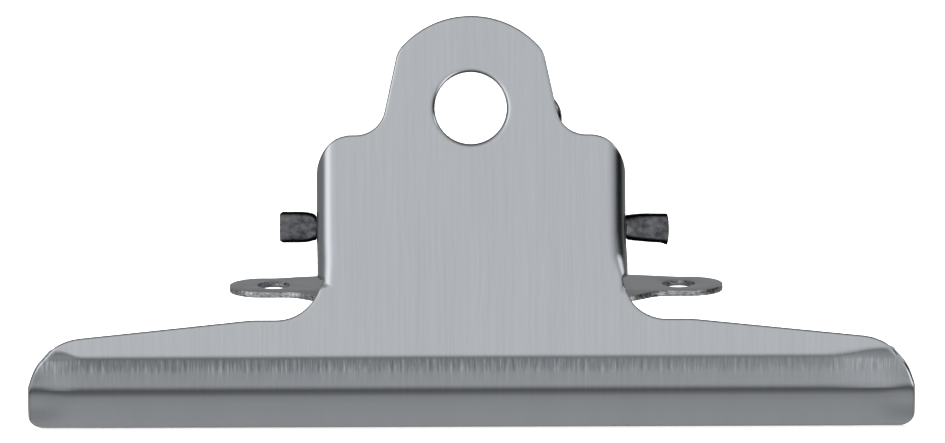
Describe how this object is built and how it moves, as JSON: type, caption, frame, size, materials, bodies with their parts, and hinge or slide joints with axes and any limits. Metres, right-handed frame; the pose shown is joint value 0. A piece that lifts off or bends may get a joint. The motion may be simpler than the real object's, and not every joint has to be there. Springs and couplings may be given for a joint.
{
  "type": "clipboard clip",
  "caption": "Sprung lever clip for a board: a long folded jaw, flanged body and thumb tab with a hanging eye, hinged by a tube axle on a riveted base plate.",
  "frame": {"origin": "midway between the centres of the two rivet holes, on the underside of the base plate", "axes": "+X along the jaw, +Z square to the board and away from it, so that the jaw side of the lever faces -Y"},
  "size_m": [0.12, 0.0256, 0.0559],
  "materials": {
    "lever_steel": "satin, brushed up and down the lever",
    "base_steel": "satin, as rolled and plated",
    "axle_steel": "dull grey drawn tube",
    "spring_wire": "dark, smooth and shiny drawn wire"
  },
  "bodies": {
    "base": {"base_plate": "base_steel", "axle_tube": "axle_steel", "torsion_spring": "spring_wire"},
    "lever": {"lever_plate": "lever_steel"}
  },
  "joints": [
    {"name": "lever_hinge", "type": "hinge", "parent": "base", "child": "lever", "pos_m": [0, 0.001, 0.0085], "axis": [-1, 0, 0], "range_deg": [0, 100], "stiffness_Nm_per_rad": 0.54, "springref_deg": -15.01, "deforming": ["torsion_spring"]}
  ]
}
